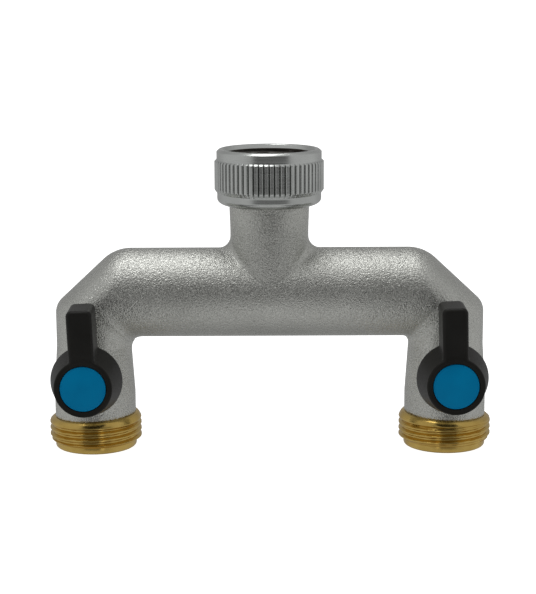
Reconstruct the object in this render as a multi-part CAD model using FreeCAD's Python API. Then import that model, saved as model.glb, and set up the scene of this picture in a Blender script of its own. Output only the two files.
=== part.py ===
import FreeCAD, Part
import math
import os

# Two-way garden hose splitter: a nickel-plated cast manifold with a swivel inlet nut at the top,
# and two legs, each with a quarter-turn ball valve and a threaded brass outlet at its lower end.
# Units are mm. The origin is on the inlet axis, at the upper face of the inlet washer.
# +Z points up out of the inlet, +X runs along the horizontal tube, -Y points towards the handles.

# Overall layout
LEG_X = 50.5              # distance of each leg's axis from the inlet axis
TUBE_Z = -33.0            # axis of the horizontal tube
VALVE_Z = -54.0           # axis of the valve stems
LEG_END_Z = -68.3         # lower end faces of the casting
BASE_Z = -78.0            # lower end faces of the outlets

# Casting
TUBE_R = 12.7
LEG_TOP_R = 10.7
LEG_END_R = 11.5
LEG_DRAFT_Z = (-49.0, -66.0)   # the leg widens from its top radius to its end radius here
NECK_TOP_R = 11.30
NECK_ROOT_R = 11.05
NECK_DRAFT_Z = (-8.0, -15.5)
NECK_FILLET = 3.0
CORNER_SLOPE = 43.0            # slope of the flat on each outer corner, degrees
CORNER_DISTANCE = 5.2          # from the elbow's centre to that flat
CORNER_TOP_ROUND = 10.0
CORNER_SIDE_ROUND = 5.3
BOSS_R = 6.5
BOSS_END = 22.5                # depths are measured from the leg's axis towards the handle
TUBE_CORE_R = 9.0
LEG_CORE_R = 7.5
NECK_CORE_R = 8.0
CORE_CORNER_DISTANCE = 2.4
CHAMBER_R = 9.3
SEAT_REACH = 8.2               # from the valve axis to the far face of each seat
FIT_GAP = 0.05                 # gap between stacked pieces

# Inlet union, G 3/4 pipe thread
THREAD_PITCH = 1.814
THREAD_LAND = 0.34
MALE_CREST_R = 13.22
MALE_ROOT_R = 12.06
FEMALE_CREST_R = 12.15
FEMALE_ROOT_R = 13.30
WASHER_THICKNESS = 2.0
WASHER_R = 11.8
NUT_TOP = 8.0
NUT_BOTTOM = -7.8
NUT_BAND_R = 14.85
NUT_LOWER_BAND_R = 14.75
KNURL_R = 15.45
KNURL_ROOT_R = 15.0
KNURL_COUNT = 64
KNURL_GROOVE_SHARE = 0.45      # part of each knurl pitch taken by the groove
FLANGE_TOP = -5.4
FLANGE_BORE_R = 11.38
RELIEF_R = 13.30
RING_THICKNESS = 1.2
RING_INNER_R = 10.35
RING_OUTER_R = 12.5
RING_GAP = 2.5

# Ball valve
BALL_R = 8.0
BALL_BORE_R = 5.25
SLOT_WIDTH = 3.1
SLOT_FLOOR = 6.0
SEAT_R = 9.25
SEAT_BORE_R = 5.6
SEAT_LIP = 4.7                 # from the valve axis to the near face of each seat, clear of the stem's flange
SEAT_CLEARANCE = 0.05
STEM_R = 3.0
STEM_BORE_R = 3.05
STEM_FLANGE_R = 4.3
STEM_FLANGE = (8.35, 9.9)
COUNTERBORE_R = 4.4
COUNTERBORE_END = 11.0
TANG_WIDTH = 7.6
TANG_THICKNESS = 3.0
SQUARE = 4.2
SQUARE_RANGE = (22.9, 25.7)
STEM_HOLE_R = 1.5
STEM_HOLE_FLOOR = 18.9
STEM_ORING_R = 0.365
STEM_ORING_DEPTHS = (14.5, 18.0)
STEM_GROOVE_R = 2.3
STEM_GROOVE_WIDTH = 1.0

# Handle
HANDLE_LEAN = 3.0              # the open levers stand this far past upright, degrees
SKIRT_REAR = 19.6
SKIRT_REAR_R = 9.95
HANDLE_FRONT = 30.0
SKIRT_FRONT_R = 7.85
LEVER_REAR = 18.0
LEVER_WIDTH = 7.0
LEVER_LENGTH = 21.2
LEVER_ROUND = 0.8
CAVITY_END = 24.6
CAVITY_REAR_R = 8.6
CAVITY_END_R = 8.0
HUB_R = 4.3
HUB_REAR = 23.0
SOCKET = 4.3
SOCKET_END = 25.85
SCREW_RECESS_R = 3.5
SCREW_RECESS_FLOOR = 26.65
SCREW_HOLE_R = 1.7
CAP_RECESS_R = 6.42
CAP_RECESS_FLOOR = 28.75
CAP_R = 6.35
CAP_FRONT = 29.95
CAP_DOME = 0.25
STOP_LUG = (140.0, 220.0)      # sector of the fixed lug, clockwise from straight up
STOP_RIB = (224.3, 409.0)      # sector of the handle's rib while its lever points straight up
STOP_LUG_R = (4.9, 6.45)
STOP_LUG_END = 24.2
STOP_RIB_R = 6.5
STOP_RIB_REAR = 22.8

# Handle screw
SCREW_R = 1.45
SCREW_HEAD_R = 2.75
SCREW_HEAD = (27.15, 28.6)
SCREW_TIP = 19.5
SCREW_WASHER = (26.7, 27.1)
SCREW_WASHER_R = 3.2
SCREW_WASHER_HOLE_R = 1.6
RECESS_WIDTH = 0.8
RECESS_LENGTH = 3.4
RECESS_DEPTH = 0.9

# Outlet
OUTLET_BORE_R = 7.0
OUTLET_LEAD_R = 11.7
OUTLET_LEAD_HEIGHT = 1.9
OUTLET_EDGE_ROUND = 0.8
OUTLET_FIRST_CREST = 3.3       # height of the lowest thread crest above the end face
OUTLET_CRESTS = 3
OUTLET_SHOULDER = ((13.0, 8.95), (12.6, 9.35), (11.9, 9.65))
SPIGOT_R = 9.25
ORING_GROOVE_R = 8.05
ORING_GROOVE_Z = (-66.2, -64.4)
ORING_R = 0.60


def point(pair):
    return FreeCAD.Vector(pair[0], 0, pair[1])


def outline(start, *steps):
    """Flat face in the XZ plane. A step is an end point, or a pair of points (on the arc, arc's end)."""
    edges = []
    here = start
    for step in steps + (start,):
        if isinstance(step[0], tuple):
            through, end = step
            edges.append(Part.Arc(point(here), point(through), point(end)).toShape())
        else:
            end = step
            edges.append(Part.makeLine(point(here), point(end)))
        here = end
    return Part.Face(Part.Wire(edges))


def turned(start, *steps):
    """Solid of revolution about Z from an outline of (radius, height) points."""
    return outline(start, *steps).revolve(FreeCAD.Vector(), FreeCAD.Vector(0, 0, 1), 360)


def disc(radius, low, high, hole=0.0):
    solid = Part.makeCylinder(radius, high - low, FreeCAD.Vector(0, 0, low))
    if hole > 0:
        solid = solid.cut(Part.makeCylinder(hole, high - low, FreeCAD.Vector(0, 0, low)))
    return solid


def block(size_x, size_y, low, high):
    """Box centred on the Z axis between two heights."""
    return Part.makeBox(size_x, size_y, high - low, FreeCAD.Vector(-size_x / 2, -size_y / 2, low))


def prism(points, half_depth):
    """Polygon in the XZ plane, extruded to both sides of it."""
    face = outline(*points)
    face.translate(FreeCAD.Vector(0, -half_depth, 0))
    return face.extrude(FreeCAD.Vector(0, 2 * half_depth, 0))


def sector(inner_r, outer_r, low, high, start, end):
    """Part of a ring between two angles, clockwise from +Y seen from +Z."""
    ring = Part.makeCylinder(
        outer_r, high - low, FreeCAD.Vector(0, 0, low), FreeCAD.Vector(0, 0, 1), end - start
    )
    ring.rotate(FreeCAD.Vector(), FreeCAD.Vector(0, 0, 1), 90 - end)
    return ring.cut(Part.makeCylinder(inner_r, high - low, FreeCAD.Vector(0, 0, low)))


def on_valve_axis(solid, side):
    """Place a solid built with +Z towards the handle and +Y up onto one leg's valve axis."""
    placed = solid.copy()
    placed.rotate(FreeCAD.Vector(), FreeCAD.Vector(1, 0, 0), 90)
    placed.translate(FreeCAD.Vector(side * LEG_X, 0, VALVE_Z))
    return placed


def on_leg_axis(solid, side):
    placed = solid.copy()
    placed.translate(FreeCAD.Vector(side * LEG_X, 0, 0))
    return placed


def mirrored(solid):
    return solid.mirror(FreeCAD.Vector(), FreeCAD.Vector(1, 0, 0))


def ridges(first, count, crest_r, root_r):
    """Outline points of a row of thread ridges, from the lowest upwards."""
    half_land = THREAD_LAND / 2
    half_pitch = THREAD_PITCH / 2
    points = []
    for index in range(count):
        crest = first + index * THREAD_PITCH
        points.append((root_r, crest - half_pitch + half_land))
        points.append((crest_r, crest - half_land))
        points.append((crest_r, crest + half_land))
        points.append((root_r, crest + half_pitch - half_land))
    return points


# Casting -----------------------------------------------------------------------------------------


def corner_point(distance, height=None, offset_x=None):
    """Point of the left corner flat at a given height, or at a given x from the leg's axis."""
    slope = math.radians(CORNER_SLOPE)
    if height is not None:
        offset_x = ((height - TUBE_Z) * math.cos(slope) - distance) / math.sin(slope)
        return (offset_x - LEG_X, height)
    rise = (distance + offset_x * math.sin(slope)) / math.cos(slope)
    return (offset_x - LEG_X, TUBE_Z + rise)


def corner_waste():
    """Everything outside the flat and its rounded ends, at the left corner."""
    slope = math.radians(CORNER_SLOPE)
    clear = 0.02                       # keeps the waste just off the tube's top line
    top = TUBE_Z + TUBE_R + clear
    side = -LEG_X - LEG_TOP_R - clear
    upper = corner_point(CORNER_DISTANCE, height=top)
    lower = corner_point(CORNER_DISTANCE, offset_x=side + LEG_X)
    reach_top = CORNER_TOP_ROUND * math.tan(slope / 2)
    turn = math.pi / 2 - slope
    reach_side = CORNER_SIDE_ROUND * math.tan(turn / 2)
    along = (math.cos(slope), math.sin(slope))
    top_arc_end = (upper[0] + reach_top, top)
    top_arc_start = (upper[0] - reach_top * along[0], upper[1] - reach_top * along[1])
    side_arc_start = (side, lower[1] - reach_side)
    side_arc_end = (lower[0] + reach_side * along[0], lower[1] + reach_side * along[1])
    top_centre = (top_arc_end[0], top - CORNER_TOP_ROUND)
    side_centre = (side + CORNER_SIDE_ROUND, side_arc_start[1])
    top_middle = (
        top_centre[0] - CORNER_TOP_ROUND * math.sin(slope / 2),
        top_centre[1] + CORNER_TOP_ROUND * math.cos(slope / 2),
    )
    side_middle = (
        side_centre[0] - CORNER_SIDE_ROUND * math.cos(turn / 2),
        side_centre[1] + CORNER_SIDE_ROUND * math.sin(turn / 2),
    )
    far = 30.0
    points = (
        side_arc_start,
        (side_middle, side_arc_end),
        top_arc_start,
        (top_middle, top_arc_end),
        (top_arc_end[0], top + far),
        (side - far, top + far),
        (side - far, side_arc_start[1]),
    )
    return prism(points, 2 * TUBE_R)


def horizontal_tube():
    """The tube, cut at each end by the plane in which it meets its leg."""
    cylinder = Part.makeCylinder(
        TUBE_R, 2 * (LEG_X + 2 * LEG_TOP_R), FreeCAD.Vector(-LEG_X - 2 * LEG_TOP_R, 0, TUBE_Z),
        FreeCAD.Vector(1, 0, 0),
    )
    reach = 1.2
    low = TUBE_Z - reach * TUBE_R
    high = TUBE_Z + reach * TUBE_R
    inner = LEG_X - reach * LEG_TOP_R
    outer = LEG_X + reach * LEG_TOP_R
    return cylinder.common(prism([(-inner, low), (inner, low), (outer, high), (-outer, high)], 2 * TUBE_R))


def left_leg():
    """The leg: its top blends from the tube's slanted end section to a round section."""
    centre = FreeCAD.Vector(-LEG_X, 0, TUBE_Z)
    slanted = FreeCAD.Vector(LEG_TOP_R, 0, -TUBE_R)
    ellipse = Part.Ellipse(
        centre.add(slanted), centre.add(FreeCAD.Vector(0, TUBE_R, 0)), centre
    ).toShape()
    section = Part.Circle(
        FreeCAD.Vector(-LEG_X, 0, LEG_DRAFT_Z[0]), FreeCAD.Vector(0, 0, 1), LEG_TOP_R
    ).toShape()
    blend = Part.makeLoft([Part.Wire(ellipse), Part.Wire(section)], True, True)
    drafted = turned(
        (0, LEG_DRAFT_Z[0]), (LEG_TOP_R, LEG_DRAFT_Z[0]), (LEG_END_R, LEG_DRAFT_Z[1]),
        (LEG_END_R, LEG_END_Z), (0, LEG_END_Z),
    )
    return blend.fuse(on_leg_axis(drafted, -1))


def neck():
    groove_low = FLANGE_TOP + FIT_GAP
    groove_high = FLANGE_TOP + RING_THICKNESS + 3 * FIT_GAP
    groove_r = RING_INNER_R - FIT_GAP
    top = -WASHER_THICKNESS
    return turned(
        (0, TUBE_Z), (NECK_ROOT_R, TUBE_Z), (NECK_ROOT_R, NECK_DRAFT_Z[1]), (NECK_TOP_R, NECK_DRAFT_Z[0]),
        (NECK_TOP_R, groove_low), (groove_r, groove_low), (groove_r, groove_high), (NECK_TOP_R, groove_high),
        (NECK_TOP_R, top - 0.4), (NECK_TOP_R - 0.4, top), (0, top),
    )


def water_passages():
    """The cored passages in the tube, the neck and the upper legs."""
    end = LEG_X + 6.5
    tube_core = Part.makeCylinder(
        TUBE_CORE_R, 2 * end, FreeCAD.Vector(-end, 0, TUBE_Z), FreeCAD.Vector(1, 0, 0)
    )
    leg_core = disc(LEG_CORE_R, VALVE_Z, TUBE_Z)
    cores = tube_core.fuse([on_leg_axis(leg_core, -1), on_leg_axis(leg_core, 1)])
    low = VALVE_Z - 1.0
    high = TUBE_Z + TUBE_CORE_R + 1.0
    side = -LEG_X - LEG_CORE_R - 1.0
    upper = corner_point(CORE_CORNER_DISTANCE, height=high)
    lower = corner_point(CORE_CORNER_DISTANCE, offset_x=side + LEG_X)
    limits = prism(
        [(side, low), lower, upper, (-upper[0], high), (-lower[0], lower[1]), (-side, low)], 2 * TUBE_R
    )
    return cores.common(limits).fuse(disc(NECK_CORE_R, TUBE_Z, 0))


def casting():
    tube = horizontal_tube().fuse([left_leg(), mirrored(left_leg())])
    waste = corner_waste()
    shell = tube.cut(waste).cut(mirrored(waste))
    shell = shell.fuse(neck()).removeSplitter()
    junction = [
        edge for edge in shell.Edges
        if abs(edge.BoundBox.Center.x) < 1.0
        and edge.BoundBox.ZMax < NECK_DRAFT_Z[1]
        and edge.BoundBox.XLength > NECK_ROOT_R
        and edge.BoundBox.XLength < 2.5 * NECK_ROOT_R
        and edge.BoundBox.ZMin > TUBE_Z
    ]
    shell = shell.makeFillet(NECK_FILLET, junction)
    boss = disc(BOSS_R, 0, BOSS_END).fuse(
        sector(STOP_LUG_R[0], STOP_LUG_R[1], BOSS_END - 1.0, STOP_LUG_END, *STOP_LUG)
    )
    stem_bore = disc(COUNTERBORE_R, 0, COUNTERBORE_END).fuse(disc(STEM_BORE_R, 0, BOSS_END + 1.0))
    chamber = disc(CHAMBER_R, LEG_END_Z, VALVE_Z + SEAT_REACH + FIT_GAP)
    shell = shell.fuse([on_valve_axis(boss, side) for side in (-1, 1)])
    shell = shell.cut(water_passages())
    for side in (-1, 1):
        shell = shell.cut(on_leg_axis(chamber, side))
        shell = shell.cut(on_valve_axis(stem_bore, side))
    return shell


# Inlet union -------------------------------------------------------------------------------------


def knurl_band():
    """Straight ridges around the nut, with both ends bevelled."""
    pitch = 2 * math.pi / KNURL_COUNT
    half_crest = pitch * (1 - KNURL_GROOVE_SHARE) / 2
    points = []
    for index in range(KNURL_COUNT):
        middle = index * pitch
        for angle, radius in (
            (middle - half_crest, KNURL_R),
            (middle, KNURL_R + 0.03),
            (middle + half_crest, KNURL_R),
            (middle + pitch / 2, KNURL_ROOT_R),
        ):
            points.append(FreeCAD.Vector(radius * math.cos(angle), radius * math.sin(angle), -5.0))
    star = Part.Face(Part.makePolygon(points + points[:1])).extrude(FreeCAD.Vector(0, 0, 11))
    ends = turned(
        (RELIEF_R + 1.0, -4.4), (NUT_LOWER_BAND_R, -4.4), (KNURL_R + 0.1, -3.2), (KNURL_R + 0.1, 4.3),
        (NUT_BAND_R, 5.1), (RELIEF_R + 1.0, 5.1),
    )
    return star.common(ends)


def swivel_nut():
    first_crest = THREAD_LAND / 2 + 0.2
    thread = ridges(first_crest, 4, FEMALE_CREST_R, FEMALE_ROOT_R)
    core = turned(
        (FLANGE_BORE_R, NUT_BOTTOM), (11.9, NUT_BOTTOM),
        ((13.9, -7.15), (NUT_LOWER_BAND_R, -5.8)),
        (NUT_LOWER_BAND_R, -4.4), (NUT_BAND_R, -4.2), (NUT_BAND_R, NUT_TOP - 0.6),
        ((NUT_BAND_R - 0.15, NUT_TOP - 0.15), (NUT_BAND_R - 0.6, NUT_TOP)),
        (FEMALE_ROOT_R, NUT_TOP), (FEMALE_CREST_R + 0.3, thread[-1][1] + 0.3),
        *reversed(thread[1:-1]),
        (FEMALE_CREST_R, -0.1), (RELIEF_R, -0.6), (RELIEF_R, FLANGE_TOP), (FLANGE_BORE_R, FLANGE_TOP),
    )
    return core.fuse(knurl_band()).removeSplitter()


def retaining_ring():
    low = FLANGE_TOP + 2 * FIT_GAP
    ring = disc(RING_OUTER_R, low, low + RING_THICKNESS, RING_INNER_R)
    gap = Part.makeBox(RING_GAP, RING_OUTER_R, 2 * RING_THICKNESS, FreeCAD.Vector(-RING_GAP / 2, 5, low - 0.5))
    return ring.cut(gap)


def inlet_washer():
    return disc(WASHER_R, FIT_GAP - WASHER_THICKNESS, 0, NECK_CORE_R)


# Ball valve, built with +Z towards the handle and +Y up ------------------------------------------


def ball():
    sphere = Part.makeSphere(BALL_R)
    bore = Part.makeCylinder(BALL_BORE_R, 4 * BALL_R, FreeCAD.Vector(0, -2 * BALL_R, 0), FreeCAD.Vector(0, 1, 0))
    slot = block(3 * BALL_R, SLOT_WIDTH, SLOT_FLOOR, 2 * BALL_R)
    return sphere.cut(bore).cut(slot)


def stem():
    tang = block(TANG_WIDTH, TANG_THICKNESS, SLOT_FLOOR + 0.1, STEM_FLANGE[0] + 0.5)
    body = tang.fuse([
        disc(STEM_FLANGE_R, *STEM_FLANGE),
        disc(STEM_R, STEM_FLANGE[0], SQUARE_RANGE[0]),
        block(SQUARE, SQUARE, SQUARE_RANGE[0] - 0.5, SQUARE_RANGE[1]),
    ])
    for depth in STEM_ORING_DEPTHS:
        low = depth - STEM_GROOVE_WIDTH / 2
        body = body.cut(disc(STEM_R + 1.0, low, low + STEM_GROOVE_WIDTH, STEM_GROOVE_R))
    return body.cut(disc(STEM_HOLE_R, STEM_HOLE_FLOOR, SQUARE_RANGE[1]))


def stem_orings():
    centre_r = STEM_GROOVE_R + STEM_ORING_R
    return Part.makeCompound([
        Part.makeTorus(centre_r, STEM_ORING_R, FreeCAD.Vector(0, 0, depth)) for depth in STEM_ORING_DEPTHS
    ])


def thrust_washer():
    return disc(STEM_FLANGE_R, STEM_FLANGE[1] + FIT_GAP, COUNTERBORE_END - FIT_GAP, STEM_BORE_R)


def handle():
    skirt = Part.makeCone(
        SKIRT_REAR_R, SKIRT_FRONT_R, HANDLE_FRONT - SKIRT_REAR, FreeCAD.Vector(0, 0, SKIRT_REAR)
    )
    lever = Part.makeBox(
        LEVER_WIDTH, LEVER_LENGTH, HANDLE_FRONT - LEVER_REAR, FreeCAD.Vector(-LEVER_WIDTH / 2, 0, LEVER_REAR)
    )
    outer_edges = [
        edge for edge in lever.Edges
        if edge.BoundBox.YMax > LEVER_LENGTH - 0.1 and edge.BoundBox.ZMax > LEVER_REAR + 0.1
    ]
    lever = lever.makeFillet(LEVER_ROUND, outer_edges)
    body = skirt.fuse(lever)
    cavity = Part.makeCone(
        CAVITY_REAR_R, CAVITY_END_R, CAVITY_END - LEVER_REAR + 1.0, FreeCAD.Vector(0, 0, LEVER_REAR - 1.0)
    )
    body = body.cut(cavity)
    body = body.fuse([
        disc(HUB_R, HUB_REAR, CAVITY_END + 0.5),
        sector(HUB_R - 0.5, STOP_RIB_R, STOP_RIB_REAR, CAVITY_END + 0.5, *STOP_RIB),
    ])
    for hollow in (
        block(SOCKET, SOCKET, STOP_RIB_REAR - 0.5, SOCKET_END),
        disc(SCREW_HOLE_R, SOCKET_END - 0.5, SCREW_RECESS_FLOOR + 0.5),
        disc(SCREW_RECESS_R, SCREW_RECESS_FLOOR, HANDLE_FRONT),
        disc(CAP_RECESS_R, CAP_RECESS_FLOOR, HANDLE_FRONT + 1.0),
    ):
        body = body.cut(hollow)
    return body.removeSplitter()


def handle_screw():
    low, high = SCREW_HEAD
    head = turned(
        (0, low), (SCREW_HEAD_R, low), (SCREW_HEAD_R, low + 0.7), ((SCREW_HEAD_R - 0.5, high - 0.25), (1.2, high)),
        (0, high),
    )
    body = head.fuse(disc(SCREW_R, SCREW_TIP, low + 0.5))
    for size in ((RECESS_LENGTH, RECESS_WIDTH), (RECESS_WIDTH, RECESS_LENGTH)):
        body = body.cut(block(*size, high - RECESS_DEPTH, high + 1.0))
    return body


def screw_washer():
    return disc(SCREW_WASHER_R, *SCREW_WASHER, SCREW_WASHER_HOLE_R)


def handle_cap():
    """Press-in disc with a slightly domed face."""
    rear = CAP_RECESS_FLOOR + FIT_GAP
    edge = 0.3
    dome_edge_r = CAP_R - edge
    sphere_r = (dome_edge_r ** 2 + CAP_DOME ** 2) / (2 * CAP_DOME)
    dome = Part.makeSphere(sphere_r, FreeCAD.Vector(0, 0, CAP_FRONT + CAP_DOME - sphere_r))
    blank = turned(
        (0, rear), (CAP_R, rear), (CAP_R, CAP_FRONT - edge), (dome_edge_r, CAP_FRONT),
        (dome_edge_r, CAP_FRONT + CAP_DOME + 0.1), (0, CAP_FRONT + CAP_DOME + 0.1),
    )
    return blank.common(dome)


# Seats and outlet, built about the leg's axis ----------------------------------------------------


def seat():
    """Upper seat ring, with the valve axis at height 0."""
    sphere_r = BALL_R + SEAT_CLEARANCE
    lip_r = math.sqrt(sphere_r ** 2 - SEAT_LIP ** 2)
    inner_z = math.sqrt(sphere_r ** 2 - SEAT_BORE_R ** 2)
    halfway = (math.atan2(SEAT_LIP, lip_r) + math.atan2(inner_z, SEAT_BORE_R)) / 2
    middle = (sphere_r * math.cos(halfway), sphere_r * math.sin(halfway))
    return turned(
        (SEAT_BORE_R, SEAT_REACH), (SEAT_R, SEAT_REACH), (SEAT_R, SEAT_LIP), (lip_r, SEAT_LIP),
        (middle, (SEAT_BORE_R, inner_z)),
    )


def outlet_tail():
    """Brass outlet: outside thread below, plain spigot with an O-ring groove inside the leg."""
    top = LEG_END_Z - FIT_GAP / 2
    spigot_top = VALVE_Z - SEAT_REACH - FIT_GAP
    thread = ridges(OUTLET_FIRST_CREST, OUTLET_CRESTS, MALE_CREST_R, MALE_ROOT_R)[1:]
    thread = [(radius, BASE_Z + height) for radius, height in thread]
    shoulder = [(radius, BASE_Z + height) for radius, height in OUTLET_SHOULDER]
    shoulder_rise = OUTLET_FIRST_CREST + OUTLET_CRESTS * THREAD_PITCH - THREAD_LAND / 2
    lead_top = BASE_Z + OUTLET_LEAD_HEIGHT
    flank = OUTLET_EDGE_ROUND * (1 - math.sqrt(0.5))
    groove_low, groove_high = ORING_GROOVE_Z
    return turned(
        (OUTLET_BORE_R + 0.5, BASE_Z), (OUTLET_LEAD_R - OUTLET_EDGE_ROUND, BASE_Z),
        ((OUTLET_LEAD_R - flank, BASE_Z + flank), (OUTLET_LEAD_R, BASE_Z + OUTLET_EDGE_ROUND)),
        (OUTLET_LEAD_R, lead_top),
        *thread,
        (13.0, BASE_Z + shoulder_rise),
        *shoulder,
        (11.7, top), (SPIGOT_R, top),
        (SPIGOT_R, groove_low), (ORING_GROOVE_R, groove_low), (ORING_GROOVE_R, groove_high),
        (SPIGOT_R, groove_high), (SPIGOT_R, spigot_top), (OUTLET_BORE_R, spigot_top),
        (OUTLET_BORE_R, BASE_Z + 0.5),
    )


def outlet_oring():
    height = sum(ORING_GROOVE_Z) / 2
    return Part.makeTorus(ORING_GROOVE_R + ORING_R, ORING_R, FreeCAD.Vector(0, 0, height))


def build():
    parts = {
        "manifold_body": casting(),
        "swivel_nut": swivel_nut(),
        "retaining_ring": retaining_ring(),
        "inlet_washer": inlet_washer(),
    }
    turning = {
        "ball": ball(),
        "stem": stem(),
        "stem_orings": stem_orings(),
        "handle": handle(),
        "handle_screw": handle_screw(),
        "screw_washer": screw_washer(),
        "handle_cap": handle_cap(),
    }
    for solid in turning.values():
        solid.rotate(FreeCAD.Vector(), FreeCAD.Vector(0, 0, 1), HANDLE_LEAN)
    upper_seat = seat()
    lower_seat = seat().mirror(FreeCAD.Vector(), FreeCAD.Vector(0, 0, 1))
    for solid in (upper_seat, lower_seat):
        solid.translate(FreeCAD.Vector(0, 0, VALVE_Z))
    for name, side in (("left", -1), ("right", 1)):
        for piece, solid in turning.items():
            parts[f"{name}_{piece}"] = on_valve_axis(solid, side)
        parts[f"{name}_thrust_washer"] = on_valve_axis(thrust_washer(), side)
        parts[f"{name}_upper_seat"] = on_leg_axis(upper_seat, side)
        parts[f"{name}_lower_seat"] = on_leg_axis(lower_seat, side)
        parts[f"{name}_outlet_tail"] = on_leg_axis(outlet_tail(), side)
        parts[f"{name}_outlet_oring"] = on_leg_axis(outlet_oring(), side)
    return parts


os.makedirs("parts", exist_ok=True)
for node, shape in build().items():
    shape.exportStep(f"parts/{node}.step")
    print(node, shape.isValid(), len(shape.Solids), round(shape.Volume, 1))
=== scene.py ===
"""Looks of the two-way hose splitter: a sand-cast nickel manifold with a knurled swivel nut,
two quarter-turn valves with black plastic levers and blue caps, and two threaded brass outlets."""

import math

import bpy
import numpy as np
import openvdb
from mathutils import Matrix, Vector


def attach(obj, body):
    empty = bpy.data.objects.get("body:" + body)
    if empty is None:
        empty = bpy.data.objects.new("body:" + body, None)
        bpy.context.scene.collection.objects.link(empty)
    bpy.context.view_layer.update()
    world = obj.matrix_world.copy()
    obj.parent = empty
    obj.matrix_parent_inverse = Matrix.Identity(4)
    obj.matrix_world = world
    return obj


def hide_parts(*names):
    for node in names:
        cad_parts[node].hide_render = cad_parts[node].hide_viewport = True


MM = 0.001

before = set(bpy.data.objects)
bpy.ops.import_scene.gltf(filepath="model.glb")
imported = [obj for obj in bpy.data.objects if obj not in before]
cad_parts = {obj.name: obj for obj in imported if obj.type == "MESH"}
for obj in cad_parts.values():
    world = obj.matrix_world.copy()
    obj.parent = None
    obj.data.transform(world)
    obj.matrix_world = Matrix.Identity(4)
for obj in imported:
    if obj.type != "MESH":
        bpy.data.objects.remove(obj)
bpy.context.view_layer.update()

# Layout of the part, in millimetres, in the frame of the CAD model
LEG_X = 50.5
TUBE_Z = -33.0
VALVE_Z = -54.0
LEG_END_Z = -68.3
BASE_Z = -78.0
# Each handle has a little play on the square of its stem: lean past upright, and shift right and up
SEATING = {-1: (math.radians(2.1), -0.35, -0.20), 1: (math.radians(1.6), 0.10, 0.08)}


# Distance fields ---------------------------------------------------------------------------------
# Each takes coordinates in millimetres and gives the signed distance, negative inside.

FAR = 50.0                     # a distance larger than any that matters
COSINE_LIMIT = 0.98            # surfaces closer to parallel than this get no tighter fillet
TINY = 1e-6


def smooth_step(value, low, high):
    t = np.clip((value - low) / (high - low), 0.0, 1.0)
    return t * t * (3.0 - 2.0 * t)


def rounded_union(a, b, cosine, radius):
    """Union of two fields whose surfaces meet at the angle given by cosine, with a rolling-ball fillet."""
    p = radius - a
    q = radius - b
    sharp = np.minimum(a, b)
    between = (p > q * cosine) & (q > p * cosine) & (p > 0) & (q > 0)
    sine_squared = np.maximum(1.0 - cosine * cosine, 1e-3)
    reach = np.sqrt(np.maximum(p * p + q * q - 2.0 * p * q * cosine, 0.0) / sine_squared)
    return np.where(between, np.minimum(radius - reach, sharp), sharp)


def rounded_intersection(a, b, cosine, radius):
    return -rounded_union(-a, -b, cosine, radius)


def band_field(value, ends):
    """Between two values."""
    return np.abs(value - (ends[0] + ends[1]) / 2) - (ends[1] - ends[0]) / 2


def box_field(offsets, half_sizes, radius):
    """Box or rectangle with rounded edges: offsets from its centre along each axis, half its sizes."""
    inner = [np.abs(offset) - half + radius for offset, half in zip(offsets, half_sizes)]
    outside = np.sqrt(sum(np.maximum(q, 0.0) ** 2 for q in inner))
    inside = np.minimum(np.maximum.reduce(inner), 0.0)
    return outside + inside - radius


# Casting
TUBE_R = 12.7
LEG_TOP_R = 10.7
LEG_END_R = 11.6
LEG_DRAFT = (-48.0, -62.0)
CORNER_SLOPE = math.radians(43.0)
CORNER_DISTANCE = 4.9
CORNER_CURVE = 16.0            # radius of the corner face from front to back
CORNER_WALL = 2.6
CORNER_ROUND_MOST = 12.0
CORNER_SETBACK_TOP = 4.5       # how far each rounded edge of the corner face reaches on either side
CORNER_SETBACK_SIDE = 2.3
CREASE_REACH = (2.9, 1.7)      # rounding of the inner crease on the left and right
CREASE_BLEND = 3.0             # how far on either side of the mitre the tube turns into the leg
NECK_R = (11.30, 11.10)
NECK_DRAFT = (-8.0, -15.5)
NECK_DEEPER = 1.08             # depth of the neck over its width at the root
NECK_FILLET = (1.4, 3.5)       # in front and at the sides
NECK_TOP_CHAMFER = 0.4
SEAM_LOWER = 0.12              # the leg ends were cut a little low,
SEAM_TILT = 0.045              # and dip outwards by this slope
SEATED = 0.12                  # how far each leg end is let into the outlet
NECK_TOP_Z = -2.0
RING_GROOVE = (-5.35, -4.05)
RING_GROOVE_R = 10.3
BOSS_R = 6.5
BOSS_END = 22.5
BOSS_FILLET = 1.2
BOSS_CHAMFER = 0.5
LUG_R = (4.9, 6.45)            # stop lug: inner and outer radius, near and far end, half its angle
LUG_DEPTH = (21.5, 24.2)
LUG_HALF_ANGLE = math.radians(40.0)

# Water passages
TUBE_CORE_R = 9.0
TUBE_CORE_PAST_LEG = 6.5
LEG_CORE_R = 7.5
NECK_CORE_R = 8.0
CHAMBER_R = 9.3                # round the ball and its seats
CHAMBER_TOP = 8.25             # above the valve's axis
STEM_BORE_R = 3.05
COUNTERBORE_R = 4.4
COUNTERBORE_END = 11.0


def seam_shift(outward):
    """How far the seam between leg and outlet lies off its plane."""
    return -SEAM_LOWER - SEAM_TILT * outward


def corner_face(u, y, t):
    """The slanting outer corner: a cylinder lying along the slope. Gives the field and its normal."""
    across = u * math.sin(CORNER_SLOPE) + t * math.cos(CORNER_SLOPE) - CORNER_DISTANCE + CORNER_CURVE
    across = np.maximum(across, TINY)
    around = np.hypot(across, y)
    return around - CORNER_CURVE, across / around, y / around


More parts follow.
